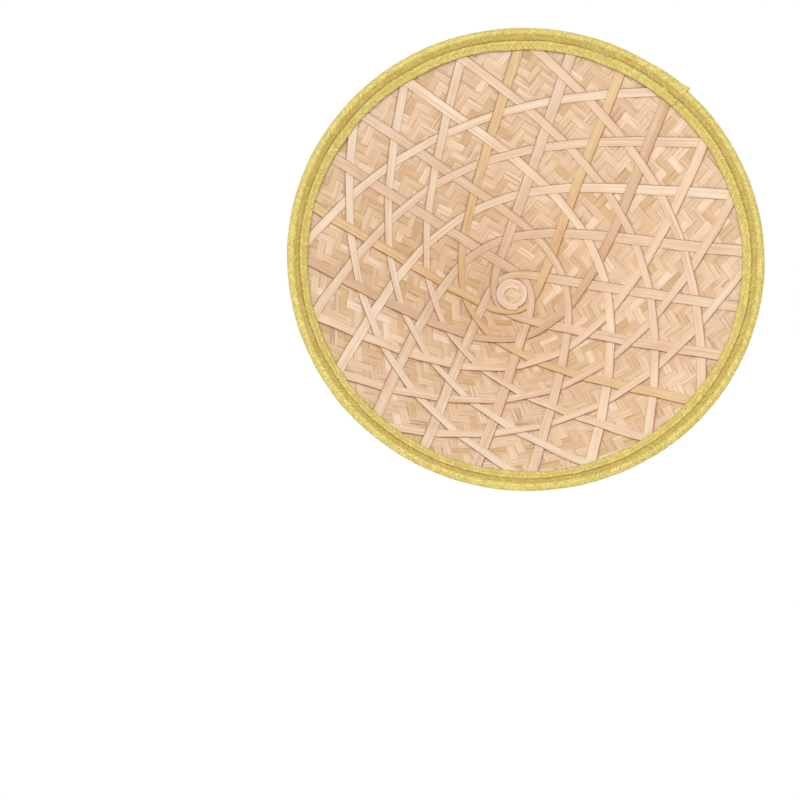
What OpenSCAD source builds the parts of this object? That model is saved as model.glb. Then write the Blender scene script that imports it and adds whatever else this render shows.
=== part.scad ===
// Conical sun hat: an outer twill mat of wide bamboo splints over a lining mat of narrow ones and an
// open six-sided lattice of strips, all bound at the brim with a folded tape over a hoop. A plaited cane
// cap closes the tip. The brim rests on z = 0, the axis is Z and the tip points up.

/* [Hat] */
// Diameter across the bound brim
brim_d = 420; // [380:5:460]
// Slope of the cone, above the horizontal
slope = 39.5; // [36:0.5:43]
// Radius that rounds the tip, on the inside face of the lattice
tip_round = 20; // [16:1:26]

/* [Mats] */
// Thickness of the outer twill mat
outer_t = 1.2; // [0.8:0.1:2]
// Thickness of the fine twill lining
lining_t = 0.9; // [0.6:0.1:1.6]
// Clearance between pieces that lie on each other
seat_gap = 0.3; // [0.2:0.05:0.4]

/* [Lattice] */
// Directions that the strips run in, which is also the number of sides round the tip
lattice_sides = 4; // [4:1:5]
// Strips that lie side by side in each direction
strips_per_side = 5; // [3:1:5]
// Distance between neighbouring strips of one direction
strip_pitch = 41.8; // [38:0.2:44]
// Width of a strip
strip_w = 8.5; // [6:0.5:10]
// Thickness of a strip
strip_t = 0.6; // [0.4:0.1:1]
// Azimuth at which the first direction passes nearest to the tip
lattice_turn = 50; // [0:1:90]

/* [Tip coil] */
// Inner radius of the coiled splint inside the tip
coil_inner_r = 9; // [6:0.5:11]
// Outer radius of the coiled splint inside the tip
coil_outer_r = 16.5; // [15:0.5:19]
// Thickness of the coiled splint
coil_t = 1; // [0.6:0.1:1.5]

/* [Brim binding] */
// Thickness of the binding tape
tape_t = 1.3; // [0.8:0.1:2]
// Width of the tape on the outside, from the brim's edge up the slope
tape_outside = 21; // [16:0.5:26]
// Width of the tape on the inside, from the brim's edge up the slope
tape_inside = 18.5; // [15:0.5:24]
// Depth of the flat that the brim stands on
stand_depth = 0.4; // [0.2:0.1:0.8]
// Thickness of the sewing thread
thread_d = 0.9; // [0.6:0.1:1.4]
// Distance of the seam from the tape's free edge on the outside
seam_outside = 7; // [4:0.5:10]
// Distance of the seam from the tape's free edge on the inside
seam_inside = 8; // [4:0.5:10]

/* [Cane cap] */
// Plaited arms on the cap
arms = 6; // [4:1:7]
// Azimuth of the first arm
arm_turn = 18; // [0:1:72]
// Distance from the tip to the end of an arm, along the slope
arm_reach = 41; // [34:1:48]
// Width of an arm
arm_w = 9; // [6:0.5:10]
// Height of an arm above the canes
arm_h = 3; // [2:0.2:4]
// Distance from the tip to the edge of the canes between two arms
web_reach = 26; // [22:1:32]
// Thickness of the layer of canes
web_t = 1.8; // [1.2:0.1:2.6]
// Radius of the knot at the top of the cap
knot_r = 9; // [8:0.5:11]
// Height of the knot above the canes
knot_h = 3.2; // [2.4:0.2:5]
// Distance from the tip to the loose splint end on the outer mat, along the slope
splint_at = 78; // [60:1:120]
// Azimuth of the loose splint end
splint_turn = 323; // [0:1:359]
// Width of the loose splint end
splint_w = 5; // [4:0.5:8]
// Length of the loose splint end
splint_l = 17; // [10:1:22]
// Thickness of the loose splint end
splint_t = 0.8; // [0.5:0.1:1.2]

/* [Hidden] */
$fn = 96;
// Levels above the lattice's inside face, square to the slope
lattice_t = 2 * strip_t + seat_gap;
lining_n = lattice_t + seat_gap;
outer_n = lining_n + lining_t + seat_gap;
stack_t = outer_n + outer_t;
web_n = stack_t + seat_gap;
arm_n = web_n + web_t + seat_gap;
// The fold of the tape goes round the hoop, centred half way through the stack
fold_inner_r = stack_t / 2 + seat_gap;
fold_outer_r = fold_inner_r + tape_t;
hoop_r = stack_t / 2;
fold_x = brim_d / 2 - fold_outer_r;
fold_z = fold_outer_r - stand_depth;
// Distances down the slope from the sharp tip of the lattice's inside face, which is at tip_z
hoop_at = (fold_x - stack_t / 2 * sin(slope)) / cos(slope);
tip_z = fold_z + hoop_at * sin(slope) - stack_t / 2 * cos(slope);
mat_end = hoop_at - hoop_r - seat_gap;
strip_end = mat_end - strip_w / 2;
brim_edge = hoop_at + fold_outer_r;
tape_out_end = brim_edge - tape_outside;
tape_in_end = brim_edge - tape_inside;
// Where the rounded tip meets the straight slope, along the inside face from the axis
round_l = tip_round * slope * PI / 180;
round_at = tip_round * tan(slope);
round_z = tip_z - tip_round / cos(slope);
// Each direction of the lattice takes 60 degrees of a flat six-sided weave, spread over its share of the cone
weave_step = 60;
spread = 360 / (lattice_sides * weave_step);
crossing = strip_pitch / sqrt(3);
hold = 0.33 * crossing;

// A point at distance r down the slope and height n above the inside face, in the half plane
function slope_point(r, n) =
    [r * cos(slope) + n * sin(slope), tip_z - r * sin(slope) + n * cos(slope)];

// The same for a length u along the inside face from the axis, over the rounded tip
function skin_point(u, n) =
    u < round_l
        ? let (lean = u / tip_round * 180 / PI)
            [(tip_round + n) * sin(lean), round_z + (tip_round + n) * cos(lean)]
        : slope_point(round_at + u - round_l, n);

// Length along the inside face at which a face at height n has radius x from the axis
function skin_at_radius(x, n) =
    let (round_x = (tip_round + n) * sin(slope))
        x < round_x
            ? asin(x / (tip_round + n)) * tip_round * PI / 180
            : round_l + (x - round_x) / cos(slope);

// A half-plane point turned to an azimuth
function turned(p, azimuth) = [p[0] * cos(azimuth), p[0] * sin(azimuth), p[1]];

function strip_name(side, row) = str("lattice_strip_", side + 1, "_", row + 1);
function arm_name(i) = str("cap_arm_", i + 1);

// A skin of triangles over rings of equally many points, open with end faces or joined end to start
module sweep(rings, loop = false) {
    corners = len(rings[0]);
    count = len(rings);
    last = loop ? count - 1 : count - 2;
    walls = [
        for (i = [0 : last], c = [0 : corners - 1])
            let (a = i * corners, b = (i + 1) % count * corners, d = (c + 1) % corners)
                each [[a + c, a + d, b + d], [a + c, b + d, b + c]]
    ];
    start = [for (c = [1 : corners - 2]) [0, c + 1, c]];
    top = (count - 1) * corners;
    end = [for (c = [1 : corners - 2]) [top, top + c, top + c + 1]];
    polyhedron([for (ring = rings) each ring], loop ? walls : concat(walls, start, end));
}

// A shell of revolution between two levels, from the axis to a distance down the slope
module shell(inner_n, outer_n, end_r) {
    arc = [for (i = [0 : 12]) i / 12 * round_l];
    over = [for (u = arc) skin_point(u, outer_n)];
    under = [for (i = [len(arc) - 1 : -1 : 0]) skin_point(arc[i], inner_n)];
    rotate_extrude() polygon(concat(over, [slope_point(end_r, outer_n), slope_point(end_r, inner_n)], under));
}

module outer_mat() {
    color("wheat") shell(outer_n, outer_n + outer_t, mat_end);
}

module lining_mat() {
    color("burlywood") shell(lining_n, lining_n + lining_t, mat_end);
}

// One strip: a straight line of the flat weave laid on the cone, over and under at each crossing
module lattice_strip(side, row) {
    nearest = (row + 0.5) * strip_pitch;
    reach = sqrt(strip_end * strip_end - nearest * nearest);
    crossings = ceil(reach / crossing);
    inner = [
        for (i = [-crossings : crossings - 1], e = abs(i + 0.5) < 2 ? [-1, -0.5, 0, 0.5, 1] : [-1, 1])
            let (along = (i + 0.5) * crossing + e * hold)
                if (abs(along) < reach - 1) along
    ];
    stations = concat([-reach], inner, [reach]);
    color("bisque") sweep([for (along = stations) strip_ring(side, row, nearest, along)]);
}

// The strip's four corners at a distance along it from its nearest point to the tip
function strip_ring(side, row, nearest, along) =
    let (
        r = norm([nearest, along]),
        bearing = atan2(along, nearest),
        azimuth = lattice_turn + spread * (side * weave_step + bearing),
        down = turned([cos(slope), -sin(slope)], azimuth),
        round = [-sin(azimuth), cos(azimuth), 0],
        stretch = spread * cos(slope) * cos(bearing),
        across = (stretch * down - sin(bearing) * round) / norm([stretch, sin(bearing)]),
        out = turned([sin(slope), cos(slope)], azimuth),
        weave = 2 * sin(180 * along / crossing) * (row % 2 == 0 ? 1 : -1),
        level = (1 - max(-1, min(1, weave))) / 2 * (strip_t + seat_gap),
        middle = turned(slope_point(r, 0), azimuth)
    )
    [
        for (corner = [[-1, 0], [1, 0], [1, 1], [-1, 1]])
            middle + corner[0] * strip_w / 2 * across + (level + corner[1] * strip_t) * out
    ];

// The splint coiled inside the tip, over the inner edges of the innermost strips
module apex_coil() {
    top_n = -seat_gap;
    low_n = top_n - coil_t;
    start = skin_at_radius(coil_inner_r, top_n);
    end = skin_at_radius(coil_outer_r, top_n);
    steps = 8;
    upper = [for (i = [0 : steps]) skin_point(start + (end - start) * i / steps, top_n)];
    lower = [for (i = [steps : -1 : 0]) skin_point(start + (end - start) * i / steps, low_n)];
    color("navajowhite") rotate_extrude() polygon(concat(upper, lower));
}

module rim_hoop() {
    centre = slope_point(hoop_at, stack_t / 2);
    color("tan") rotate_extrude() translate(centre) circle(r = hoop_r);
}

// The tape: two flaps and the fold round the hoop, flat where the brim stands
module rim_binding() {
    half_flat = acos(fold_z / fold_outer_r);
    outer_arc = [
        for (turn = concat(
            [for (i = [0 : 4]) (slope - half_flat) * i / 4],
            [for (i = [0 : 16]) slope + half_flat + (180 - slope - half_flat) * i / 16]
        )) fold_point(fold_outer_r, turn)
    ];
    inner_arc = [for (i = [16 : -1 : 0]) fold_point(fold_inner_r, 180 * i / 16)];
    inside_edge = [slope_point(tape_in_end, -seat_gap), slope_point(tape_in_end, -seat_gap - tape_t)];
    outside_n = stack_t + seat_gap;
    outside_edge = [slope_point(tape_out_end, outside_n + tape_t), slope_point(tape_out_end, outside_n)];
    color("khaki") rotate_extrude() polygon(concat(inside_edge, outer_arc, outside_edge, inner_arc));
}

// A point on the fold, turned from the inside face of the stack round to its outside face
function fold_point(r, turn) = slope_point(hoop_at + r * sin(turn), stack_t / 2 - r * cos(turn));

// A line of thread round the hat on a face of the tape
module seam(r, n) {
    color("darkgoldenrod") rotate_extrude() translate(slope_point(r, n)) circle(d = thread_d, $fn = 24);
}

module outer_seam() {
    seam(tape_out_end + seam_outside, stack_t + seat_gap + tape_t + seat_gap / 3 + thread_d / 2);
}

module inner_seam() {
    seam(tape_in_end + seam_inside, -seat_gap - tape_t - seat_gap / 3 - thread_d / 2);
}

// Distance from the tip to the edge of the canes, longest under each arm
function web_edge(azimuth) =
    let (share = 360 / arms, off = abs((azimuth - arm_turn + 360 + share / 2) % share - share / 2))
        web_reach + (arm_reach - web_reach) * pow(1 - off / (share / 2), 3);

// The layer of canes that fans out between the arms
module cap_canes() {
    start = knot_r / 3;
    steps = 10;
    slices = arms * 10;
    color("sandybrown") sweep([
        for (i = [0 : slices - 1])
            let (azimuth = arm_turn + 360 * i / slices, edge = web_edge(azimuth))
            [
                for (s = [0 : steps]) turned(skin_point(start + (edge - start) * s / steps, web_n), azimuth),
                for (s = [steps : -1 : 0])
                    turned(skin_point(start + (edge - start) * s / steps, web_n + web_t), azimuth)
            ]
    ], loop = true);
}

// One plaited arm, lying down the slope on the canes
module cap_arm(i) {
    azimuth = arm_turn + 360 / arms * i;
    clear = (arm_w / 2 + seat_gap) / tan(180 / arms);
    start = skin_at_radius(max(knot_r, clear), arm_n) + seat_gap;
    steps = 8;
    color("peru") sweep([for (s = [0 : steps]) arm_ring(azimuth, start + (arm_reach - start) * s / steps)]);
}

// The arm's cross-section: flat below, rounded above
function arm_ring(azimuth, u) =
    let (
        round = [-sin(azimuth), cos(azimuth), 0],
        base = skin_point(u, arm_n),
        crest = skin_point(u, arm_n + 1),
        out = turned(crest - base, azimuth)
    )
    [
        for (corner = [[-1, 0], [-1, 0.5], [-0.5, 1], [0.5, 1], [1, 0.5], [1, 0]])
            turned(base, azimuth) + corner[0] * arm_w / 2 * round + corner[1] * arm_h * out
    ];

// The knot of canes where the arms meet
module cap_knot() {
    edge = skin_at_radius(knot_r, arm_n);
    steps = 8;
    over = [
        for (i = [0 : steps])
            let (u = edge * i / steps) skin_point(u, arm_n + knot_h * (0.35 + 0.65 * cos(90 * i / steps)))
    ];
    under = [for (i = [steps : -1 : 0]) skin_point(edge * i / steps, arm_n)];
    color("chocolate") rotate_extrude() polygon(concat(over, under));
}

// The loose end of a splint that comes out of the outer mat
module loose_splint() {
    round = [-sin(splint_turn), cos(splint_turn), 0];
    rings = [
        for (u = [splint_at, splint_at + splint_l])
            [
                for (corner = [[-1, 0], [-1, 1], [1, 1], [1, 0]])
                    turned(skin_point(u, web_n + corner[1] * splint_t), splint_turn) + corner[0] * splint_w / 2 * round
            ]
    ];
    color("tan") sweep(rings);
}

outer_mat();
lining_mat();
apex_coil();
rim_hoop();
rim_binding();
outer_seam();
inner_seam();
cap_canes();
cap_knot();
loose_splint();
for (i = [0 : arms - 1])
    cap_arm(i);
for (side = [0 : lattice_sides - 1], row = [0 : strips_per_side - 1])
    lattice_strip(side, row);
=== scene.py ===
"""Conical bamboo hat: woven mats, lattice, bound brim and cane cap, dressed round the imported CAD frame."""
import math

import bpy
import numpy as np
from mathutils import Matrix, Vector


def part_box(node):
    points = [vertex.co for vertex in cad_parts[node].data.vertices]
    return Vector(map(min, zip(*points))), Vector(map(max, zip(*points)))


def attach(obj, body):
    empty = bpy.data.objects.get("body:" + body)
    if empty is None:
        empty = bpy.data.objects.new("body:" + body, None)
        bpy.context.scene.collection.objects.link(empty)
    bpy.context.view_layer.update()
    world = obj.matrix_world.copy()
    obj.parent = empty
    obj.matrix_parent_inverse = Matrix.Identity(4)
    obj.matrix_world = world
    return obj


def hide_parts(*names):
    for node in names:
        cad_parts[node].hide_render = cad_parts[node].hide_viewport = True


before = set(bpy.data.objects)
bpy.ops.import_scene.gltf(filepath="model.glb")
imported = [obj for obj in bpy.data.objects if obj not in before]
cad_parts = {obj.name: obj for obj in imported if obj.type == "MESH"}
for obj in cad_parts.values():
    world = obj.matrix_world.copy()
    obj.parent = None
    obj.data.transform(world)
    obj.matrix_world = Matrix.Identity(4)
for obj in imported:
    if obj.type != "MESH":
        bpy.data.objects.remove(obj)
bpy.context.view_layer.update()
rng = np.random.default_rng(11)

# Units are metres and radians
MM = 0.001
TURN = 2 * math.pi

# Driving sizes of the hat, as in the CAD model
BRIM_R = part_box("rim_binding")[1][0]
SLOPE = math.radians(39.5)
TIP_ROUND = 20 * MM
SEAT_GAP = 0.3 * MM
LINING_N = 1.8 * MM
LINING_T = 0.9 * MM
OUTER_N = 3.0 * MM
OUTER_T = 1.2 * MM
STACK_T = OUTER_N + OUTER_T
TAPE_T = 1.3 * MM
STAND_DEPTH = 0.4 * MM
TAPE_OUTSIDE = 21 * MM
TAPE_INSIDE = 18.5 * MM
SEAM_OUTSIDE = 7 * MM
SEAM_INSIDE = 8 * MM
STRIP_PITCH = 41.8 * MM
STRIP_W = 8.5 * MM
STRIP_T = 0.6 * MM
LATTICE_SIDES = 4
STRIPS_PER_SIDE = 5
LATTICE_TURN = math.radians(50)
ARMS = 6
ARM_TURN = math.radians(18)
ARM_REACH = 41 * MM
WEB_REACH = 26 * MM
WEB_N = STACK_T + SEAT_GAP
WEB_T = 1.8 * MM
ARM_N = WEB_N + WEB_T + SEAT_GAP
KNOT_R = 9 * MM
KNOT_H = 3.2 * MM
SPLINT_AT = 78 * MM
SPLINT_TURN = math.radians(323)
SPLINT_W = 5 * MM
SPLINT_L = 17 * MM

# What follows from them
COS, SIN = math.cos(SLOPE), math.sin(SLOPE)
FOLD_INNER_R = STACK_T / 2 + SEAT_GAP
FOLD_MID_R = FOLD_INNER_R + TAPE_T / 2
FOLD_R = FOLD_INNER_R + TAPE_T
HOOP_AT = (BRIM_R - FOLD_R - STACK_T / 2 * SIN) / COS
TIP_Z = FOLD_R - STAND_DEPTH + HOOP_AT * SIN - STACK_T / 2 * COS
ROUND_L = TIP_ROUND * SLOPE
ROUND_AT = TIP_ROUND * math.tan(SLOPE)
ROUND_Z = TIP_Z - TIP_ROUND / COS
MAT_END = HOOP_AT - STACK_T / 2 - SEAT_GAP
BRIM_EDGE = HOOP_AT + FOLD_R
TAPE_OUT_END = BRIM_EDGE - TAPE_OUTSIDE
TAPE_IN_END = BRIM_EDGE - TAPE_INSIDE
ARM_STEP = TURN / ARMS


def srgb(*rgb):
    """Linear colour of an 8-bit sRGB one."""
    c = np.asarray(rgb, float) / 255
    return np.where(c <= 0.04045, c / 12.92, ((c + 0.055) / 1.055) ** 2.4)


def on_skin(u, azimuth, n):
    """Point at length u along the inside face from the axis, over the rounded tip, and height n above it."""
    u, azimuth, n = np.broadcast_arrays(u, azimuth, n)
    lean = np.minimum(u, ROUND_L) / TIP_ROUND
    rest = np.maximum(u - ROUND_L, 0)
    x = (TIP_ROUND + n) * np.sin(lean) + rest * COS
    z = ROUND_Z + (TIP_ROUND + n) * np.cos(lean) - rest * SIN
    return np.stack([x * np.cos(azimuth), x * np.sin(azimuth), z], -1)


def on_slope(r, azimuth, n):
    """Point at distance r down the slope from the sharp tip and height n above the inside face."""
    return on_skin(r - ROUND_AT + ROUND_L, azimuth, n)


def smooth(x):
    """Ease from 0 to 1 while x goes from 0 to 1."""
    x = np.clip(x, 0, 1)
    return x * x * (3 - 2 * x)


def drift(t, span, size):
    """A slow random wander along t: three waves of 1.7 to 0.5 times the span, up to about the size."""
    total = np.zeros_like(t)
    for k in range(3):
        total = total + np.sin(TURN * (t / span * (0.6 + 0.7 * k) + rng.random())) / (k + 1)
    return total * size / 1.6


def flat_section(width, thick, bevel, crown=0.0, plain_top=False, plain_low=False):
    """Cross-section of a flat splint as a loop of (across, height), flat between narrow bevels.

    A plain side, which lies hidden, has corners at its bevels only.
    """
    half = width / 2
    full = np.array([bevel - half, 3 * bevel - half, 0.0, half - 3 * bevel, half - bevel])
    top = full[::4] if plain_top else full
    low = full[::-4] if plain_low else full[::-1]
    a = np.concatenate([top, [half], low, [-half]])
    level = np.concatenate([0 * top + thick / 2, [0.0], 0 * low - thick / 2, [0.0]])
    return a, level - crown * (a / half) ** 2


def oval_section(width, thick, corners=10):
    """Cross-section of a rounded cane."""
    turn = np.linspace(0, TURN, corners, endpoint=False)
    return width / 2 * np.cos(turn), thick / 2 * np.sin(turn)


def edges(a, beyond, amount=1.0):
    """Amount of edge colour at a section's corners: none up to a distance from its middle."""
    return np.where(np.abs(a) > beyond, amount, 0.0)[None]


def sweep(rings):
    """Vertices and outward faces of a skin over rings[station, corner, xyz], closed at both ends."""
    count, corners = rings.shape[:2]
    index = np.arange(count * corners).reshape(count, corners)
    turned = np.roll(index, -1, axis=1)
    quads = np.stack([index[:-1], turned[:-1], turned[1:], index[1:]], -1).reshape(-1, 4)
    verts = rings.reshape(-1, 3)
    p = verts[quads] - verts.mean(0)
    volume = np.einsum("ij,ij->", p[:, 0], np.cross(p[:, 1], p[:, 2]) + np.cross(p[:, 2], p[:, 3]))
    faces = quads.tolist() + [index[0][::-1].tolist(), index[-1].tolist()]
    if volume < 0:
        faces = [face[::-1] for face in faces]
    return verts, faces


class Heap:
    """Collects swept parts, with what their material needs to know of each vertex.

    "lie" holds the place along and across a part and the part's random key, and "tint" its colour,
    with the amount of edge colour as alpha.
    """

    def __init__(self):
        self.verts, self.faces, self.lie, self.tint, self.count = [], [], [], [], 0

    def add(self, rings, along, across, tint, edge, key=None):
        verts, faces = sweep(rings)
        shape = rings.shape[:2]
        key = rng.random() if key is None else key
        lie = np.stack([np.broadcast_to(value, shape) for value in (along, across, key)], -1)
        colour = np.broadcast_to(tint, (*shape, 3))
        tints = np.concatenate([colour, np.broadcast_to(edge, shape)[..., None]], -1)
        self.faces += [[i + self.count for i in face] for face in faces]
        self.verts.append(verts)
        self.lie.append(lie.reshape(-1, 3))
        self.tint.append(tints.reshape(-1, 4))
        self.count += len(verts)

    def piece(self, name, material, slot, node):
        """Make one object of the parts, which replaces a node of the frame."""
        mesh = bpy.data.meshes.new(name)
        mesh.from_pydata(np.concatenate(self.verts).tolist(), [], self.faces)
        mesh.polygons.foreach_set("use_smooth", np.ones(len(mesh.polygons), bool))
        lie = mesh.attributes.new("lie", "FLOAT_VECTOR", "POINT")
        lie.data.foreach_set("vector", np.concatenate(self.lie).astype(np.float32).ravel())
        tint = mesh.attributes.new("tint", "FLOAT_COLOR", "POINT")
        tint.data.foreach_set("color", np.concatenate(self.tint).astype(np.float32).ravel())
        mesh.materials.append(material)
        obj = bpy.data.objects.new(name, mesh)
        bpy.context.scene.collection.objects.link(obj)
        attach(obj, "root")
        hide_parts(node)
        return obj


class Nodes:
    """A material's node tree, built by expressions."""

    def __init__(self, name):
        self.material = bpy.data.materials.new(name)
        self.material.use_nodes = True
        self.tree = self.material.node_tree
        self.shader = self.tree.nodes["Principled BSDF"]

    def put(self, kind, inputs=(), **settings):
        node = self.tree.nodes.new(kind)
        for key, value in settings.items():
            setattr(node, key, value)
        for key, value in dict(inputs).items():
            self.feed(node.inputs[key], value)
        return node

    def feed(self, socket, value):
        if isinstance(value, bpy.types.NodeSocket):
            self.tree.links.new(value, socket)
        else:
            socket.default_value = value

    def math(self, operation, a, b=0.0, c=0.0):
        return self.put("ShaderNodeMath", {0: a, 1: b, 2: c}, operation=operation).outputs[0]

    def attribute(self, name):
        return self.put("ShaderNodeAttribute", attribute_name=name)

    def place(self):
        return self.put("ShaderNodeTexCoord").outputs["Object"]

    def split(self, vector):
        return self.put("ShaderNodeSeparateXYZ", {0: vector}).outputs

    def join(self, x, y, z=0.0):
        return self.put("ShaderNodeCombineXYZ", {0: x, 1: y, 2: z}).outputs[0]

    def noise(self, vector, detail=2.0, rough=0.5):
        inputs = {"Vector": vector, "Scale": 1.0, "Detail": detail, "Roughness": rough}
        return self.put("ShaderNodeTexNoise", inputs).outputs[0]

    def grain(self, along, across, along_scale, across_scale, seed=0.0, detail=2.0, rough=0.5):
        """Noise with its own scales along and across."""
        x, y = self.math("MULTIPLY", along, along_scale), self.math("MULTIPLY", across, across_scale)
        return self.noise(self.join(x, y, seed), detail, rough)

    def random(self, vector):
        return self.put("ShaderNodeTexWhiteNoise", {"Vector": vector}, noise_dimensions="3D").outputs[0]

    def span(self, value, low, high, to_low=0.0, to_high=1.0):
        """Ease from to_low to to_high while the value goes from low to high."""
        inputs = {"Value": value, "From Min": low, "From Max": high, "To Min": to_low, "To Max": to_high}
        return self.put("ShaderNodeMapRange", inputs, interpolation_type="SMOOTHSTEP").outputs[0]

    def mix(self, factor, a, b, blend="MIX"):
        node = self.put("ShaderNodeMix", data_type="RGBA", blend_type=blend)
        for socket, value in ((node.inputs[0], factor), (node.inputs[6], a), (node.inputs[7], b)):
            self.feed(socket, (*value, 1.0) if isinstance(value, (tuple, np.ndarray)) else value)
        return node.outputs[2]

    def finish(self, colour, rough, height, depth, strength):
        """Feed the shader, with the height as bumps of a depth, and give the material."""
        self.feed(self.shader.inputs["Base Color"], colour)
        self.feed(self.shader.inputs["Roughness"], rough)
        bump = self.put("ShaderNodeBump", {"Height": height, "Distance": depth, "Strength": strength})
        self.feed(self.shader.inputs["Normal"], bump.outputs[0])
        return self.material


# Sets the noise of parts with different keys apart
KEY_SPREAD = 97.0


def bamboo(name, streaks=0.0, streak_part=1.0, edge=srgb(150, 100, 60), edge_part=0.5, paint=None,
           gloss=0.5, crease=0.6):
    """Split bamboo: each splint's own tint, with bands, blotches, fibres, creases and darker edges, which
    are partly the splints' own split edges and partly painted shade between splints.

    streaks is the share of the splints that have brown streaks, and paint prints on the finished colour.
    """
    m = Nodes(name)
    tint = m.attribute("tint")
    along, across, key = m.split(m.attribute("lie").outputs["Vector"])
    seed = m.math("MULTIPLY", key, KEY_SPREAD)
    fibre = m.grain(along, across, 14.0, 2300.0, seed, detail=3.0, rough=0.6)
    band = m.grain(along, across, 6.0, 520.0, seed)
    blotch = m.grain(along, across, 26.0, 60.0, seed)
    line = m.grain(along, across, 3.0, 430.0, seed, detail=1.0)
    off_line = m.math("ABSOLUTE", m.math("SUBTRACT", line, 0.5))
    colour = m.mix(m.span(band, 0.3, 0.7), tint.outputs["Color"], srgb(248, 240, 230), "MULTIPLY")
    colour = m.mix(m.span(blotch, 0.42, 0.78, 0.0, 0.6), colour, srgb(246, 232, 214), "MULTIPLY")
    colour = m.mix(m.span(fibre, 0.46, 0.36, 0.0, 0.6), colour, srgb(226, 202, 176), "MULTIPLY")
    colour = m.mix(m.span(off_line, 0.02, 0.004, 0.0, crease), colour, srgb(196, 156, 122), "MULTIPLY")
    if streaks:
        dash = m.grain(along, across, 22.0, 640.0, seed, detail=3.0, rough=0.6)
        patch = m.grain(along, across, 11.0, 20.0, seed, detail=1.0)
        chosen = m.math("GREATER_THAN", key, 1 - streaks)
        amount = m.math("MULTIPLY", m.span(dash, 0.51, 0.61), m.span(patch, 0.45, 0.58))
        amount = m.math("MULTIPLY", amount, m.math("MULTIPLY", chosen, streak_part))
        colour = m.mix(amount, colour, srgb(122, 84, 54))
    # Edge colour: partly the splints' darker split edges, partly painted shade between splints and painted
    # shadow beside lattice strips
    colour = m.mix(m.math("MULTIPLY", tint.outputs["Alpha"], edge_part), colour, edge)
    if paint:
        colour = paint(m, colour, fibre)
    rough = m.span(fibre, 0.3, 0.7, gloss + 0.14, gloss - 0.06)
    return m.finish(colour, rough, fibre, depth=0.2 * MM, strength=0.45)


# Printed sprig: start down the slope and to the side, heading, length and half width of each stroke,
# in millimetres and degrees on the flattened cone
SPRIG = [(74, 0, 1, 32, 1.3), (101, 0.6, -2, 28, 2.2), (122, -0.3, -3, 52, 4.0),
         (110, 0.2, 24, 16, 2.0), (114, 0.2, -22, 18, 2.1), (120, 0, 27, 20, 2.4),
         (124, -0.2, -25, 21, 2.6), (130, -0.3, 29, 22, 2.8), (134, -0.6, -27, 24, 3.0),
         (140, -0.8, 27, 26, 3.0), (144, -1.2, -24, 28, 3.2), (150, -1.4, -8, 35, 4.2),
         (152, -1.4, 11, 34, 4.2), (178, -2.0, 138, 36, 4.4), (184, -4.0, 110, 30, 3.8)]
LEAF_SWELL = 2.55
PRINT_WOBBLE = 1.2 * MM
PRINT_BLUR = 0.5 * MM


def sprig(m, colour, fibre):
    """A printed sprig of slender leaves on the flattened cone, with its stem towards the tip."""
    x, y, _ = m.split(m.attribute("print").outputs["Vector"])
    wobble = m.grain(x, y, 420.0, 420.0, detail=3.0, rough=0.7)
    y = m.math("ADD", y, m.span(wobble, 0.2, 0.8, -PRINT_WOBBLE, PRINT_WOBBLE))
    mask = None
    for start, side, heading, length, half in SPRIG:
        c, s = math.cos(math.radians(heading)), math.sin(math.radians(heading))
        per_length = 1 / (length * MM)
        dx, dy = m.math("SUBTRACT", x, start * MM), m.math("SUBTRACT", y, side * MM)
        part = m.math("MULTIPLY_ADD", dx, c * per_length, m.math("MULTIPLY", dy, s * per_length))
        off = m.math("ABSOLUTE", m.math("MULTIPLY_ADD", dx, -s, m.math("MULTIPLY", dy, c)))
        grow = m.math("POWER", m.math("MAXIMUM", part, 0.0), 0.7)
        taper = m.math("MAXIMUM", m.math("SUBTRACT", 1.0, part), 0.0)
        width = m.math("MULTIPLY", m.math("MULTIPLY", grow, taper), half * MM * LEAF_SWELL)
        inside = m.math("SUBTRACT", width, off)
        mask = inside if mask is None else m.math("MAXIMUM", mask, inside)
    amount = m.span(mask, 0.0, PRINT_BLUR)
    dulled = m.span(fibre, 0.30, 0.42, 0.55, 0.95)
    return m.mix(m.math("MULTIPLY", amount, dulled), colour, srgb(70, 70, 55))


def weave_level(t, cells, pitch, ease):
    """Smooth level along a splint from the levels of its crossings, cells[k] from k times the pitch."""
    half = len(cells) // 2
    place = t / pitch + half
    k = np.clip(np.floor(place).astype(int), 1, len(cells) - 2)
    part = place - k
    before = cells[k - 1] + (cells[k] - cells[k - 1]) * smooth(0.5 + part / (2 * ease))
    after = cells[k] + (cells[k + 1] - cells[k]) * smooth(0.5 - (1 - part) / (2 * ease))
    return np.where(part < 0.5, before, after)


# Both mats: families of splints square to each other on the flattened cone, spread over the full turn
FAMILIES = 3
SPREAD = TURN / (FAMILIES * math.pi / 2)
# How far a mat's splints stay inside its end, and half the length of the shortest one
END_MARGIN = 0.5 * MM
SIDE_MARGIN = 0.4 * MM
ROW_MARGIN = 3 * MM
SHORTEST_HALF = 12 * MM
# Part of a crossing, at either end of it, in which a splint goes between over and under
WEAVE_EASE = 0.3
# Lengths over which a splint wanders and ripples, and how high it ripples
SWAY_L = 160 * MM
RIPPLE_L = 50 * MM
RIPPLE_H = 0.05 * MM


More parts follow.
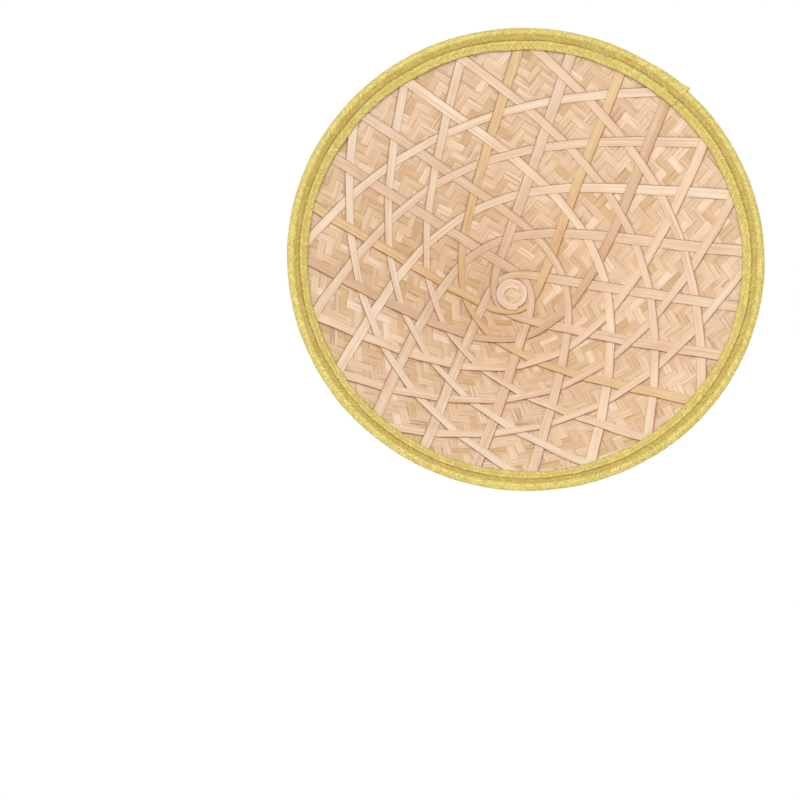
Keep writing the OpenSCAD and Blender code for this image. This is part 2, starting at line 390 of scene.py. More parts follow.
def twill_mat(pitch, turn, mid_n, lift, thick, tints, gap, bevel, step, crown, sway, **plain):
    """Families of splints on the flattened cone, each over two and under two of the next family.

    tints holds each colour's share of the splints, gap is the free width between two of them, and sway is
    how far they wander. Gives the heap, and each vertex's length along the inside face and azimuth.
    """
    heap = Heap()
    places = []
    colours, shares = list(tints), list(tints.values())
    end = MAT_END - ROUND_AT + ROUND_L - END_MARGIN
    rows = int((end - ROW_MARGIN) / pitch + 0.5)
    for family in range(FAMILIES):
        for i in range(rows):
            d = (i + 0.5) * pitch
            width = pitch - gap * (0.6 + 0.8 * rng.random())
            a, n = flat_section(width, thick * (0.85 + 0.3 * rng.random()), bevel, crown, **plain)
            offset = (rng.random() - 0.5) * gap
            reach = math.sqrt(max(end * end - d * d, SHORTEST_HALF ** 2))
            t = np.linspace(-reach, reach, max(int(2 * reach / step), 8))
            wander = drift(t, SWAY_L, sway)[:, None]
            side = np.minimum(d + offset + a[None] + wander, end - SIDE_MARGIN)
            most = np.sqrt(end * end - side * side)
            tt = t[:, None] * most / reach
            forward = [1.0 if (i - j) % 4 in (0, 1) else -1.0 for j in range(rows + 2)]
            back = [1.0 if (i - j) % 4 in (1, 2) else -1.0 for j in range(rows + 2)]
            level = weave_level(tt, np.array(back[::-1] + forward), pitch, WEAVE_EASE)
            height = mid_n + level * lift + n[None] + drift(t, RIPPLE_L, RIPPLE_H)[:, None]
            u = np.hypot(side, tt)
            azimuth = turn + (family * math.pi / 2 + np.arctan2(tt, side)) * SPREAD
            tint = srgb(*colours[rng.choice(len(colours), p=shares)]) * (0.96 + 0.06 * rng.random())
            # Edge colour at both sides of a splint: partly its darker split edge, partly painted shade
            # between splints
            edge = edges(a, width / 2 - 0.01 * MM)
            heap.add(on_skin(u, azimuth, height), tt, a[None] + 0 * tt, tint, edge)
            places.append(np.stack([u, azimuth], -1).reshape(-1, 2))
    return heap, np.concatenate(places)


# Outer mat: wide splints, with the printed sprig on one side
PRINT_AT = math.radians(-126)
OUTER_TINTS = {(244, 226, 200): 0.27, (240, 217, 190): 0.24, (238, 212, 187): 0.21, (235, 207, 172): 0.09,
               (224, 184, 138): 0.06, (247, 234, 214): 0.08, (222, 196, 172): 0.05}
outer, places = twill_mat(pitch=16.5 * MM, turn=math.radians(-138), mid_n=OUTER_N + OUTER_T / 2,
                          lift=0.32 * MM, thick=0.52 * MM, tints=OUTER_TINTS, gap=0.4 * MM, bevel=0.2 * MM,
                          step=2.6 * MM, crown=0.1 * MM, sway=0.3 * MM, plain_low=True)
outer_material = bamboo("outer_bamboo", streaks=0.2, edge_part=0.35, paint=sprig, crease=0.45)
outer_mat = outer.piece("outer_mat_weave", outer_material, "outer_bamboo", "outer_mat")
u, azimuth = places.T
aside = ((azimuth - PRINT_AT + math.pi) % TURN - math.pi) * COS
printed = np.stack([u * np.cos(aside), u * np.sin(aside), 0 * u], -1)
layer = outer_mat.data.attributes.new("print", "FLOAT_VECTOR", "POINT")
layer.data.foreach_set("vector", printed.astype(np.float32).ravel())

# Lining mat: narrow splints
LINING_TINTS = {(230, 205, 177): 0.3, (226, 199, 169): 0.27, (234, 211, 184): 0.22, (222, 194, 161): 0.1,
                (240, 221, 199): 0.07, (217, 188, 148): 0.04}
lining, _ = twill_mat(pitch=8 * MM, turn=0.0, mid_n=LINING_N + LINING_T / 2, lift=0.24 * MM, thick=0.4 * MM,
                      tints=LINING_TINTS, gap=0.28 * MM, bevel=0.12 * MM, step=1.8 * MM, crown=-0.04 * MM,
                      sway=0.25 * MM, plain_top=True)

# A round patch of finer splints in front of it at the tip, inside the coil
FINE = 3.0 * MM
FINE_GAP = 0.2 * MM
FINE_T = 0.3 * MM
FINE_BEVEL = 0.08 * MM
FINE_CROWN = -0.02 * MM
FINE_HALF_ROWS = 4
FINE_R = 13 * MM
FINE_N = 1.1 * MM
FINE_LIFT = 0.2 * MM
FINE_TURN = 0.6
for family in range(2):
    for i in range(-FINE_HALF_ROWS, FINE_HALF_ROWS):
        side = (i + 0.5) * FINE
        reach = math.sqrt(FINE_R ** 2 - side * side)
        t = np.linspace(-reach, reach, 40)
        a, n = flat_section(FINE - FINE_GAP, FINE_T, FINE_BEVEL, FINE_CROWN, plain_top=True)
        wave = np.sin(np.pi * (t / FINE + i * (1 - 2 * family)) / 2 + family * np.pi)
        level = np.clip(1.5 * wave, -1, 1) * FINE_LIFT
        x, y = t[:, None] + 0 * a[None], side + a[None] + 0 * t[:, None]
        azimuth = np.arctan2(y, x) + family * math.pi / 2 + FINE_TURN
        rings = on_skin(np.hypot(x, y), azimuth, FINE_N + level[:, None] + n[None])
        tint = srgb(*list(LINING_TINTS)[rng.integers(4)]) * 1.02
        # Edge colour at the sides: partly the darker split edges, partly painted shade between splints
        lining.add(rings, x, a[None] + 0 * x, tint, edges(a, FINE / 2 - 0.11 * MM))
lining_material = bamboo("lining_bamboo", streaks=0.06, streak_part=0.45, edge=srgb(140, 84, 46),
                         edge_part=0.4)
lining.piece("lining_mat_weave", lining_material, "lining_bamboo", "lining_mat")

# Lattice: flat strips of a six-sided weave, each its own piece
PALE, CREAM, ROSE = (236, 219, 199), (231, 210, 186), (229, 205, 182)
TAN, BROWN = (226, 198, 155), (214, 185, 156)
STRIP_TINTS = [[CREAM, CREAM, PALE, CREAM, PALE], [ROSE, ROSE, PALE, CREAM, ROSE],
               [TAN, BROWN, CREAM, ROSE, CREAM], [ROSE, TAN, CREAM, PALE, PALE]]
STRIP_EXTRA_T = 0.2 * MM
STRIP_BEVEL = 0.28 * MM
STRIP_CROWN = -0.04 * MM
STRIP_END = MAT_END - 2 * MM
STRIP_STEP = 2.5 * MM
# Range in which a strip lies round its place, and how far and over what length it wanders
STRIP_PLAY = 1.6 * MM
STRIP_SWAY = 1.0 * MM
STRIP_SWAY_L = 300 * MM
# Room that the innermost strips leave for the coil, and half the length over which they bow out
BOW = 2 * MM
BOW_L = 26 * MM
# Strong dark edge colour: painted shadow lines beside the strips, partly their darker split edges
strip_material = bamboo("lattice_bamboo", edge=srgb(146, 78, 38), edge_part=0.85, crease=0.3)
spread = TURN / (LATTICE_SIDES * math.pi / 3)
crossing = STRIP_PITCH / math.sqrt(3)
for side in range(LATTICE_SIDES):
    for row in range(STRIPS_PER_SIDE):
        width = STRIP_W * (0.92 + 0.14 * rng.random())
        half = width / 2
        a, n = flat_section(width, STRIP_T + STRIP_EXTRA_T, STRIP_BEVEL, STRIP_CROWN)
        nearest = (row + 0.5) * STRIP_PITCH + (rng.random() - 0.5) * STRIP_PLAY
        reach = math.sqrt(STRIP_END * STRIP_END - nearest * nearest)
        t = np.linspace(-reach, reach, int(2 * reach / STRIP_STEP))
        bow = BOW * np.exp(-(t / BOW_L) ** 2) * (row == 0)
        line = nearest + a[None] + (bow + drift(t, STRIP_SWAY_L, STRIP_SWAY))[:, None]
        tt = t[:, None] + 0 * line
        azimuth = LATTICE_TURN + spread * (side * math.pi / 3 + np.arctan2(tt, line))
        weave = np.clip(1.6 * np.sin(np.pi * tt / crossing) * (1 if row % 2 == 0 else -1), -1, 1)
        height = (1 - weave) / 2 * (STRIP_T + SEAT_GAP) + STRIP_T / 2 + n[None]
        tint = srgb(*STRIP_TINTS[side][row]) * (0.96 + 0.08 * rng.random())
        # Edge colour mostly on the side towards the brim: a painted shadow line where the strip stands off
        # the lining, partly also its darker split edge
        stations = [-half, 0.1 * MM - half, half - 0.8 * MM, half - STRIP_BEVEL, half]
        edge = np.interp(a, stations, [0.2, 0, 0, 0.75, 1])
        strip = Heap()
        strip.add(on_slope(np.hypot(line, tt), azimuth, height), tt, a[None] + 0 * tt, tint, edge[None])
        node = f"lattice_strip_{side + 1}_{row + 1}"
        strip.piece(f"{node}_bamboo", strip_material, "lattice_bamboo", node)

# Coil inside the tip: a splint wound flat, over the innermost strips
COIL_W = 3.7 * MM
COIL_T = 0.36 * MM
COIL_BEVEL = 0.12 * MM
COIL_CROWN = -0.05 * MM
COIL_SWAY = 0.3 * MM
COIL_TURNS = 2.7
COIL_START = 2.2
COIL_RADII = (9.6 * MM, 18.0 * MM)
COIL_MEAN_R = 14 * MM
COIL_LEVELS = (-0.4 * MM, -1.2 * MM)
coil = Heap()
a, n = flat_section(COIL_W, COIL_T, COIL_BEVEL, COIL_CROWN)
turns = np.linspace(0, COIL_TURNS * TURN, 220)
radius = np.interp(turns, turns[[0, -1]], COIL_RADII) + drift(turns, 6.0, COIL_SWAY)
level = np.interp(turns, turns[[0, -1]], COIL_LEVELS)
rings = on_skin(radius[:, None] + a[None], COIL_START - turns[:, None], level[:, None] + n[None])
# Dark edge colour on both sides of the coil's splint: painted shade between its turns
coil.add(rings, (turns * COIL_MEAN_R)[:, None], a[None], srgb(240, 223, 208), edges(a, 1.8 * MM, 0.45))
coil.piece("apex_coil_splint", strip_material, "lattice_bamboo", "apex_coil")

# Binding tape: folded over the brim, woven in slanting bands, its end lapped over its start.
# Angles are in radians round the hat, from TAPE_START
LAP = 0.105
TAPE_START = math.radians(119) - LAP
LAP_LEAD = 0.16
LAP_RAMP = 0.2
LAP_LIFT = 1.4 * MM
# Corner of the lapped end that stands out at the fold, and its place in parts of the tape's width
CORNER_L = 0.045
CORNER_LIFT = 2.4 * MM
CORNER_FROM, CORNER_TO, CORNER_EASE = 0.35, 0.75, 0.2
# Bands and ribs of the weave
BAND = 4.4 * MM
RIB = 2.5 * MM
RIB_H = 0.22 * MM
RIB_SLANT = 0.9
RIB_SHARP = 0.7
BAND_SHARP = 0.35
STITCH = 6.2 * MM
SCALLOP = 0.35 * MM
# Dent that the seams pull into the tape, with a ripple from stitch to stitch
DENT = 0.3 * MM
DENT_RIPPLE = 0.08 * MM
DENT_W = 1.3 * MM
# Radius at which lengths along the tape are measured
TAPE_MEAN_R = BRIM_R - 8 * MM
# Stations round the hat and across the tape, and the step between those that its hidden face keeps
TAPE_STATIONS = 2000
TAPE_ROWS = 66
HIDDEN_STEP = 5
TAPE_W = (HOOP_AT - TAPE_IN_END) + (HOOP_AT - TAPE_OUT_END) + FOLD_MID_R * math.pi
SEAM_IN_V = SEAM_INSIDE + 0.6 * MM
SEAM_OUT_V = TAPE_W - SEAM_OUTSIDE


def tape_path(v, out):
    """Distance down the slope, and level, at length v from the tape's inside edge, out from its middle."""
    inside = HOOP_AT - TAPE_IN_END
    turn = np.clip((v - inside) / FOLD_MID_R, 0, math.pi)
    back = np.maximum(v - inside - FOLD_MID_R * math.pi, 0)
    down = np.where(v < inside, TAPE_IN_END + v, HOOP_AT - back)
    r = down + (FOLD_MID_R + out) * np.sin(turn)
    return r, STACK_T / 2 - (FOLD_MID_R + out) * np.cos(turn)


def rib_height(along, v):
    """Relief of the slanting ribs, 0 to 1, leaning the other way in each band."""
    band = np.floor(v / BAND)
    lean = np.where(band % 2 == 0, 1.0, -1.0)
    phase = (along + lean * (v - band * BAND) * RIB_SLANT) / RIB
    ridge = np.abs(np.sin(np.pi * phase)) ** RIB_SHARP
    groove = np.abs(np.sin(np.pi * v / BAND)) ** BAND_SHARP
    return ridge * groove


def lap_rise(turns):
    """Rise of the tape towards its lapped end, 0 to 1."""
    return smooth((turns - TURN + LAP_LEAD) / LAP_RAMP)


def tape_rings():
    """Rings of the tape, with the length along it and across it at each corner."""
    turns = np.linspace(0, TURN + LAP, TAPE_STATIONS)
    along = (turns * TAPE_MEAN_R)[:, None]
    v = np.linspace(0, TAPE_W, TAPE_ROWS)[None] + 0 * along
    relief = rib_height(along, v) * RIB_H
    for seam_v in (SEAM_IN_V, SEAM_OUT_V):
        pull = np.exp(-((v - seam_v) / DENT_W) ** 2)
        relief = relief - pull * (DENT + DENT_RIPPLE * np.cos(TURN * along / STITCH))
    wave = drift(turns, 0.5, 0.18 * MM)[:, None] + drift(turns, 0.11, 0.1 * MM)[:, None]
    squeeze = 1 + drift(turns, 0.35, 0.35 * MM)[:, None] / TAPE_W
    inner_wave = drift(turns, 0.3, 0.6 * MM)[:, None] * np.clip(1 - v / (7 * MM), 0, 1)
    scallop = np.abs(np.sin(np.pi * along / (2 * RIB))) * SCALLOP
    scallop = scallop * np.clip((v - TAPE_W) / (3 * MM) + 1, 0, 1)
    corner = smooth((turns - TURN - LAP + CORNER_L) / CORNER_L)[:, None]
    part = v / TAPE_W
    corner = corner * smooth((part - CORNER_FROM) / CORNER_EASE) * smooth((CORNER_TO - part) / CORNER_EASE)
    lap = lap_rise(turns)[:, None]
    shown_face = TAPE_T / 2 + relief + wave + lap * LAP_LIFT
    hidden_face = lap * (LAP_LIFT + 0.1 * MM) - TAPE_T / 2 + 0 * v
    points = []
    for face in (shown_face, hidden_face):
        r, level = tape_path(v * squeeze + inner_wave + scallop, face + corner * CORNER_LIFT)
        points.append(on_slope(r, TAPE_START + turns[:, None], level))
    hidden = np.arange(0, TAPE_ROWS, HIDDEN_STEP)[::-1]
    across = np.concatenate([v, v[:, hidden]], 1)
    rings = np.concatenate([points[0], points[1][:, hidden]], 1)
    return rings, along + 0 * across, across


def tape():
    """Woven tape in yellow-green: ribs of several shades with flecks, painted shade between the ribs and
    bands, and painted light on its outside flap.
    """
    m = Nodes("binding_tape")
    along, v, _ = m.split(m.attribute("lie").outputs["Vector"])
    band = m.math("FLOOR", m.math("DIVIDE", v, BAND))
    inside = m.math("SUBTRACT", v, m.math("MULTIPLY", band, BAND))
    odd = m.math("FLOORED_MODULO", band, 2.0)
    lean = m.math("MULTIPLY_ADD", odd, -2.0, 1.0)
    phase = m.math("MULTIPLY_ADD", m.math("MULTIPLY", lean, inside), RIB_SLANT, along)
    phase = m.math("DIVIDE", phase, RIB)
    ridge = m.math("ABSOLUTE", m.math("SINE", m.math("MULTIPLY", phase, math.pi)))
    groove = m.math("ABSOLUTE", m.math("SINE", m.math("MULTIPLY", v, math.pi / BAND)))
    relief = m.math("MULTIPLY", m.math("POWER", ridge, RIB_SHARP), m.math("POWER", groove, BAND_SHARP))
    pick = m.random(m.join(m.math("FLOOR", phase), band))
    cloud = m.grain(along, v, 130.0, 130.0, detail=3.0, rough=0.6)
    fine = m.grain(along, v, 1500.0, 1500.0)
    slant = m.math("MULTIPLY_ADD", m.math("MULTIPLY", lean, v), 0.6, along)
    fleck = m.grain(slant, v, 520.0, 760.0, rough=0.6)
    colour = m.mix(m.span(pick, 0.0, 1.0), srgb(190, 169, 70), srgb(222, 203, 112))
    colour = m.mix(m.span(cloud, 0.42, 0.62, 0.0, 0.7), colour, srgb(194, 176, 72))
    colour = m.mix(m.span(fine, 0.42, 0.7, 0.0, 0.6), colour, srgb(234, 220, 158))
    colour = m.mix(m.span(fleck, 0.5, 0.66, 0.0, 0.6), colour, srgb(236, 223, 150))
    colour = m.mix(m.span(fleck, 0.47, 0.34, 0.0, 0.6), colour, srgb(172, 152, 54))
    # Painted shade between the ribs and bands, where the relief is low
    colour = m.mix(m.span(relief, 0.5, 0.1, 0.0, 0.55), colour, srgb(156, 134, 50))
    # Duller between the inside seam and the fold, painted lighter on the outside flap as painted light over
    # the same tape, with a dark line at its free edge
    dulled = m.math("MULTIPLY", m.span(v, 8.2 * MM, 9.4 * MM), m.span(v, 16.5 * MM, 12.5 * MM))
    colour = m.mix(m.math("MULTIPLY", dulled, 0.9), colour, srgb(234, 224, 214), "MULTIPLY")
    outside = m.span(v, 19 * MM, 26 * MM)
    # Pale flecks on the outside flap only: part of its painted light
    painted_light_flecks = m.math("MULTIPLY", outside, m.span(fleck, 0.54, 0.62, 0.0, 0.55))
    colour = m.mix(painted_light_flecks, colour, srgb(240, 230, 168))
    border = m.math("MULTIPLY", outside, m.span(v, TAPE_W - 0.9 * MM, TAPE_W - 0.2 * MM, 0.0, 0.6))
    colour = m.mix(border, colour, srgb(140, 108, 52))
    # Painted light: the whole outside flap lifted brighter than the same tape on the inside
    colour = m.mix(outside, colour, (1.14, 1.09, 1.12), "MULTIPLY")
    height = m.math("ADD", relief, m.math("MULTIPLY", fine, 0.4))
    return m.finish(colour, 0.72, height, depth=0.3 * MM, strength=0.5)


binding = Heap()
rings, along, across = tape_rings()
binding.add(rings, along, across, srgb(205, 190, 80), 0.0, key=0.5)
binding.piece("rim_binding_tape", tape(), "binding_tape", "rim_binding")


def thread():
    """Twisted sewing thread in two browns."""
    m = Nodes("thread")
    along, across, _ = m.split(m.attribute("lie").outputs["Vector"])
    twist = m.math("SINE", m.math("MULTIPLY_ADD", along, 5200.0, m.math("MULTIPLY", across, 4000.0)))
    colour = m.mix(m.span(twist, -1.0, 1.0), srgb(146, 95, 46), srgb(182, 129, 64))
    return m.finish(colour, 0.6, twist, depth=0.1 * MM, strength=0.5)


# Seams: single stitches round the tape, sunk at their ends and lifted where the tape is lapped
THREAD_D = 0.7 * MM
STITCH_SINK = 0.32 * MM
STITCH_BOW = 0.2 * MM
STITCH_START = 0.04
thread_material = thread()
for name, node, seam_v in (("inner", "inner_seam", SEAM_IN_V), ("outer", "outer_seam", SEAM_OUT_V)):
    seam = Heap()
    a, n = oval_section(THREAD_D, THREAD_D, 8)
    r0, _ = tape_path(np.array([seam_v]), 0.0)
    step = STITCH / (r0[0] * COS)
    count = int(TURN / step)
    sway = drift(np.linspace(0, TURN, count), 0.25, 0.4 * MM)
    s = np.linspace(0, 1, 9)
    for k in range(count):
        past = (k + 0.01 + 0.98 * s) * step + STITCH_START
        azimuth = TAPE_START + past
        past = np.where(past % TURN < LAP, past % TURN + TURN, past % TURN)
        out = TAPE_T / 2 + lap_rise(past) * LAP_LIFT - STITCH_SINK + STITCH_BOW * np.sin(np.pi * s) ** 0.6
        shift = sway[k] + (rng.random() - 0.5) * 0.35 * MM
        r, level = tape_path(seam_v + shift + a[None] + 0 * s[:, None], out[:, None] + n[None])
        rings = on_slope(r, azimuth[:, None], level)
        seam.add(rings, (s * STITCH)[:, None], a[None], srgb(140, 92, 44), 0.0)
    seam.piece(f"{name}_stitches", thread_material, "thread", node)


def cane():
    """Peeled cane: orange tan, glossy, with fine grain along it and dark edges that are painted shade of the
    gaps between canes.
    """
    m = Nodes("cane")
    tint = m.attribute("tint")
    along, across, key = m.split(m.attribute("lie").outputs["Vector"])
    seed = m.math("MULTIPLY", key, KEY_SPREAD)
    grain = m.grain(along, across, 40.0, 2600.0, seed, detail=3.0, rough=0.6)
    patch = m.grain(along, across, 90.0, 200.0, seed)
    colour = m.mix(m.span(grain, 0.65, 0.35), tint.outputs["Color"], srgb(238, 214, 192), "MULTIPLY")
    colour = m.mix(m.span(patch, 0.48, 0.75, 0.0, 0.4), colour, srgb(222, 170, 130))
    # Dark edge colour: painted shade of the gaps between canes
    colour = m.mix(m.math("MULTIPLY", tint.outputs["Alpha"], 0.85), colour, srgb(112, 62, 36))
    return m.finish(colour, m.span(grain, 0.3, 0.7, 0.5, 0.36), grain, depth=0.15 * MM, strength=0.4)


CANE_TINTS = [(244, 205, 172), (239, 195, 160), (247, 214, 186), (231, 184, 146)]
cane_material = cane()


def cane_tint():
    """A random one of the canes' colours."""
    return srgb(*CANE_TINTS[rng.integers(len(CANE_TINTS))])


def web_edge(turn):
    """Distance from the tip to the edge of the canes, at an angle from an arm."""
    off = np.abs((turn + ARM_STEP / 2) % ARM_STEP - ARM_STEP / 2)
    return WEB_REACH + (ARM_REACH - WEB_REACH) * (1 - off / (ARM_STEP / 2)) ** 3


# Canes that arch from arm to arm, nested and lapped like tiles, over a dark brown layer of painted shade
# that shows in the gaps
CANES = 8
CANE_T = 0.9 * MM
# Width of a cane beside the arms and between them
CANE_WIDTHS = (1.9 * MM, 2.9 * MM)
CANE_N = WEB_N + 0.95 * MM
CANE_TILT = 0.7 * MM
CANE_STAGGER = 0.15 * MM
SHADE_LAYER_LOW, SHADE_LAYER_TOP = WEB_N + 0.1 * MM, WEB_N + 0.3 * MM
# Places of the canes and of the painted-shade layer under them, in parts of the way from the tip to the edge
CANE_FIRST, CANE_RANGE = 0.24, 0.70
SHADE_LAYER_PARTS = [0.2, 0.55, 0.93]
web = Heap()
turn = np.linspace(0, ARM_STEP, 40)
along = (turn * 20 * MM)[:, None]
for sector in range(ARMS):
    azimuth = (ARM_TURN + sector * ARM_STEP + turn)[:, None]
    under = np.array([SHADE_LAYER_PARTS + SHADE_LAYER_PARTS[::-1]]) * web_edge(turn)[:, None]
    level = np.repeat([SHADE_LAYER_TOP, SHADE_LAYER_LOW], 3)[None]
    # Dark sheet of painted shade under the canes
    web.add(on_skin(under, azimuth, level), along, under, srgb(120, 78, 52), 0.3)
    for k in range(CANES):
        part = CANE_FIRST + CANE_RANGE * k / (CANES - 1)
        u = part * web_edge(turn) + drift(turn, 1.5, 0.25 * MM)
        width = np.interp(np.sin(turn * ARMS / 2), [0.72, 0.94], CANE_WIDTHS)[:, None]
        a, n = oval_section(1.0, CANE_T)
        height = CANE_N - a[None] * CANE_TILT + n[None] + CANE_STAGGER * (k % 2)
        rings = on_skin(u[:, None] + a[None] * width, azimuth, height)
        web.add(rings, along, a[None] * 3 * MM, cane_tint(), edges(a, 0.45))
web.piece("cap_web_canes", cane_material, "cane", "cap_canes")

# Plaited arms: strands from either side turn at the edge and cross over the middle in turn
STRAND_STEP = 2.05 * MM
STRAND_W = 3.1 * MM
STRAND_T = 0.95 * MM
STRAND_L = 9 * MM
STRAND_TILT = 0.25 * MM
# Lift of a strand at places along it
STRAND_PLACES = [0, 0.2, 0.55, 0.8, 1]
STRAND_LIFTS = np.array([-0.5, 0.15, 1.75, 1.2, 0.1]) * MM
PLAIT_HALF = 3.3 * MM
PLAIT_START = KNOT_R - 1.0 * MM
PLAIT_L = ARM_REACH - PLAIT_START
# How far the arms' ends come down to the mat
END_DROP = 1.7 * MM
s = np.linspace(0, 1, 16)
for arm in range(ARMS):
    plait = Heap()
    for k in range(int((PLAIT_L - 3 * MM) / STRAND_STEP)):
        hand = 1 if k % 2 == 0 else -1
        u = PLAIT_START + k * STRAND_STEP + (-2.0 + 7.4 * s) * MM
        fade = np.interp(k * STRAND_STEP, [0, PLAIT_L - 12 * MM, PLAIT_L], [1, 1, 0.66])
        size = 0.8 + 0.2 * fade
        near = np.interp(u, [8 * MM, 15 * MM], [0.75, 1.0])
        y = hand * PLAIT_HALF * np.cos(np.pi * 0.95 * (s - 0.2)) * fade * near
        lift = np.interp(s, STRAND_PLACES, STRAND_LIFTS) * (0.7 + 0.3 * fade)
        lift = lift - np.interp(u, [36 * MM, 42 * MM], [0, END_DROP])
        a, n = oval_section(STRAND_W * size, STRAND_T)
        du, dy = np.gradient(u), np.gradient(y)
        pace = np.hypot(du, dy)
        uu = u[:, None] - a[None] * (dy / pace)[:, None]
        yy = y[:, None] + a[None] * (du / pace)[:, None]
        height = ARM_N + lift[:, None] + n[None] - STRAND_TILT * (hand * a / (1.5 * MM))[None]
        radial = on_skin(uu, 0 * uu, height)[..., 0]
        azimuth = ARM_TURN + arm * ARM_STEP + yy / np.maximum(radial, 4 * MM)
        plait.add(on_skin(uu, azimuth, height), (s * STRAND_L)[:, None], a[None], cane_tint(),
                  edges(a, 1.4 * MM * size))
    plait.piece(f"cap_arm_{arm + 1}_plait", cane_material, "cane", f"cap_arm_{arm + 1}")

# Knot at the top: canes crossing over and under on a dome
KNOT_CANES = 5
KNOT_PITCH = 3.7 * MM
KNOT_CANE_W = 3.3 * MM
KNOT_CANE_T = 1.0 * MM
KNOT_LIFT = 0.42 * MM
KNOT_TURN = 0.3
knot = Heap()
for family in range(2):
    for i in range(KNOT_CANES):
        y0 = (i - (KNOT_CANES - 1) / 2) * KNOT_PITCH
        reach = math.sqrt(max((KNOT_R + 0.8 * MM) ** 2 - y0 * y0, (3 * MM) ** 2))
        x = np.linspace(-reach, reach, 26)
        a, n = oval_section(KNOT_CANE_W, KNOT_CANE_T)
        xx, yy = x[:, None] + 0 * a[None], y0 + a[None] + 0 * x[:, None]
        u = np.hypot(xx, yy)
        azimuth = np.arctan2(yy, xx) + family * math.pi / 2 + KNOT_TURN
        level = np.sin(np.pi * (xx / KNOT_PITCH + 0.5 + i + family)) * KNOT_LIFT
        dome = KNOT_H * (0.2 + 0.55 * np.cos(np.clip(u / KNOT_R, 0, 1) * math.pi / 2)) - 0.6 * MM
        rings = on_skin(u, azimuth, ARM_N + dome + level + n[None])
        knot.add(rings, xx, a[None], cane_tint(), edges(a, 1.5 * MM))
knot.piece("cap_knot_canes", cane_material, "cane", "cap_knot")

# Loose end of a splint that comes out of the outer mat
SPLINT_T = 0.6 * MM
SPLINT_BEVEL = 0.15 * MM
SPLINT_CROWN = 0.08 * MM
RAGGED = 0.5 * MM
splint = Heap()
a, n = flat_section(SPLINT_W, SPLINT_T, SPLINT_BEVEL, SPLINT_CROWN)
s = np.linspace(0, 1, 16)
ragged = RAGGED * np.sin(3.1 * a / MM)
u = SPLINT_AT + s[:, None] * (SPLINT_L - 0.6 * MM + ragged[None])
height = OUTER_N + 0.5 * MM + (1.3 * smooth(s / 0.3) + 0.4 * s ** 2) * MM
radial = on_skin(u, 0 * u, WEB_N)[..., 0]
bow = 0.9 * MM * (1 - s) ** 2
rings = on_skin(u, SPLINT_TURN + (a[None] - bow[:, None]) / radial, height[:, None] + n[None])
splint.add(rings, u, a[None] + 0 * u, srgb(158, 128, 102), edges(a, 2.3 * MM))
splint_material = bamboo("weathered_splint", edge=srgb(96, 72, 54), gloss=0.6, crease=0.9)
splint.piece("loose_splint_end", splint_material, "weathered_splint", "loose_splint")


def hoop():
    """Split bamboo with its fibres round the hat."""
    m = Nodes("hoop_bamboo")
    x, y, z = m.split(m.place())
    fibre = m.grain(m.math("ARCTAN2", y, x), z, 6.0, 1800.0, detail=3.0)
    colour = m.mix(m.span(fibre, 0.3, 0.7), srgb(196, 150, 98), srgb(228, 190, 140))
    return m.finish(colour, 0.55, fibre, depth=0.2 * MM, strength=0.5)


# The hoop inside the fold of the tape stays as the frame has it, with its own material
hoop_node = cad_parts["rim_hoop"]
hoop_node.data.materials.clear()
hoop_node.data.materials.append(hoop())

# Camera at the photograph's angle: below the brim, looking up into the hat
FRAME_PX = 800
FOCAL_PX = 1271.5
SENSOR = 36
CAMERA_AT = (0.00905, -0.31357, -1.0866)
RIGHT, UP = (-0.96232, 0.2715, 0.01497), (0.26614, 0.95177, -0.15269)
BACK = (-0.05571, -0.14295, -0.98816)
scene = bpy.context.scene
camera = bpy.data.objects.new("camera", bpy.data.cameras.new("camera"))
scene.collection.objects.link(camera)
camera.matrix_world = Matrix.Translation(CAMERA_AT) @ Matrix(list(zip(RIGHT, UP, BACK))).to_4x4()
camera.data.sensor_width = SENSOR
camera.data.lens = SENSOR * FOCAL_PX / FRAME_PX
camera.data.clip_end = 50
scene.camera = camera


def floor_material():
    """Pale from above, with a glow that grows away from the hat, and clear from below."""
    m = Nodes("floor")
    grain = m.noise(m.place())
    m.feed(m.shader.inputs["Base Color"], m.mix(grain, srgb(229, 228, 226), srgb(234, 233, 231)))
    m.shader.inputs["Roughness"].default_value = 0.8
    m.shader.inputs["Specular IOR Level"].default_value = 0.1
    x, y, _ = m.split(m.place())
    far = m.math("SQRT", m.math("ADD", m.math("MULTIPLY", x, x), m.math("MULTIPLY", y, y)))
    m.shader.inputs["Emission Color"].default_value = (1, 1, 1, 1)
    m.feed(m.shader.inputs["Emission Strength"], m.span(far, 0.2, 3.0, 0.0, 0.6))
    below = m.put("ShaderNodeNewGeometry").outputs["Backfacing"]
    clear = m.put("ShaderNodeBsdfTransparent").outputs[0]
    choose = m.put("ShaderNodeMixShader", {0: below, 1: m.shader.outputs[0], 2: clear})
    m.feed(m.tree.nodes["Material Output"].inputs["Surface"], choose.outputs[0])
    return m.material


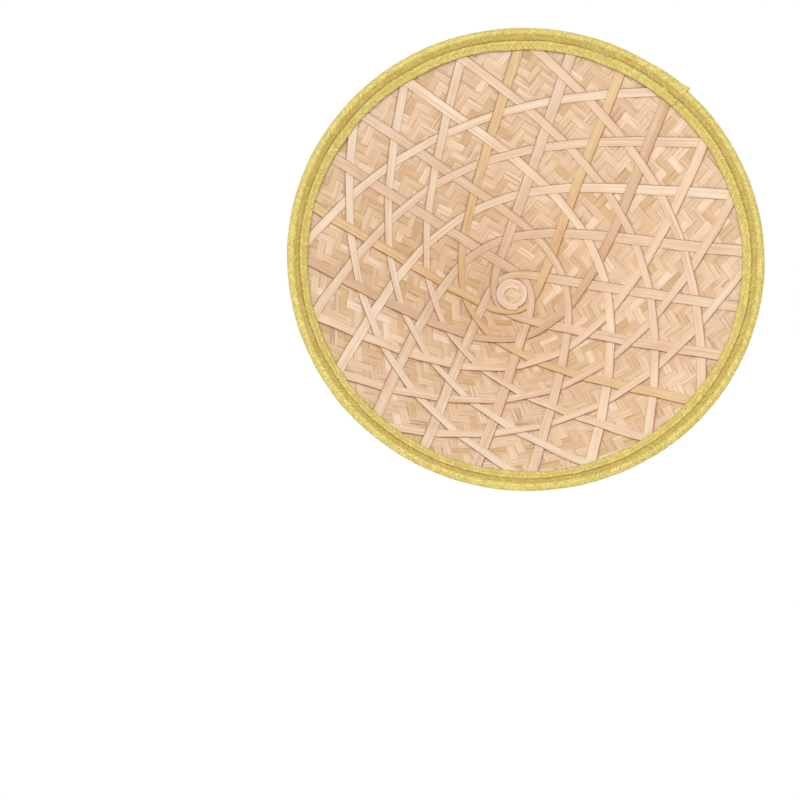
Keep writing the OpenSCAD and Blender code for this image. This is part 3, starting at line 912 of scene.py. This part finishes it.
# Pale floor, seen from above only, so that the hat shows from below too
FLOOR_HALF = 40.0
corners = [(x * FLOOR_HALF, y * FLOOR_HALF, 0) for x, y in ((-1, -1), (1, -1), (1, 1), (-1, 1))]
floor_mesh = bpy.data.meshes.new("floor")
floor_mesh.from_pydata(corners, [], [(0, 1, 2, 3)])
floor_mesh.materials.append(floor_material())
floor = bpy.data.objects.new("floor", floor_mesh)
scene.collection.objects.link(floor)
floor.visible_diffuse = False
floor.visible_shadow = False

# Soft light from all round, and white behind the hat and in reflections
WORLD_LIGHT = 0.70
world = bpy.data.worlds.new("studio")
scene.world = world
world.use_nodes = True
nodes, links = world.node_tree.nodes, world.node_tree.links
background = nodes["Background"]
white = nodes.new("ShaderNodeBackground")
for light, strength in ((background, WORLD_LIGHT), (white, 1.0)):
    light.inputs["Color"].default_value = (1, 1, 1, 1)
    light.inputs["Strength"].default_value = strength
path = nodes.new("ShaderNodeLightPath")
seen = path.outputs["Is Camera Ray"]
for ray in ("Is Glossy Ray", "Is Transmission Ray"):
    either = nodes.new("ShaderNodeMath")
    either.operation = "MAXIMUM"
    links.new(seen, either.inputs[0])
    links.new(path.outputs[ray], either.inputs[1])
    seen = either.outputs[0]
swap = nodes.new("ShaderNodeMixShader")
links.new(seen, swap.inputs[0])
links.new(background.outputs[0], swap.inputs[1])
links.new(white.outputs[0], swap.inputs[2])
links.new(swap.outputs[0], nodes["World Output"].inputs["Surface"])


def lamp(name, place, aim, size, power):
    """A round area lamp at a place, turned to its aim."""
    light = bpy.data.lights.new(name, "AREA")
    light.shape, light.size, light.energy = "DISK", size, power
    obj = bpy.data.objects.new(name, light)
    scene.collection.objects.link(obj)
    z = np.array(place) - np.array(aim)
    z = z / np.linalg.norm(z)
    x = np.cross((0, 1, 0.1), z)
    x = x / np.linalg.norm(x)
    obj.matrix_world = Matrix.Translation(place) @ Matrix(list(zip(x, np.cross(z, x), z))).to_4x4()


# A broad lamp above and below
HAT_MIDDLE = (0, 0, 0.08)
lamp("key_above", (-0.9, -1.5, 2.3), HAT_MIDDLE, size=1.0, power=42)
lamp("key_below", (0.3, -0.1, -1.9), HAT_MIDDLE, size=1.0, power=24)

scene.view_settings.view_transform = "Standard"
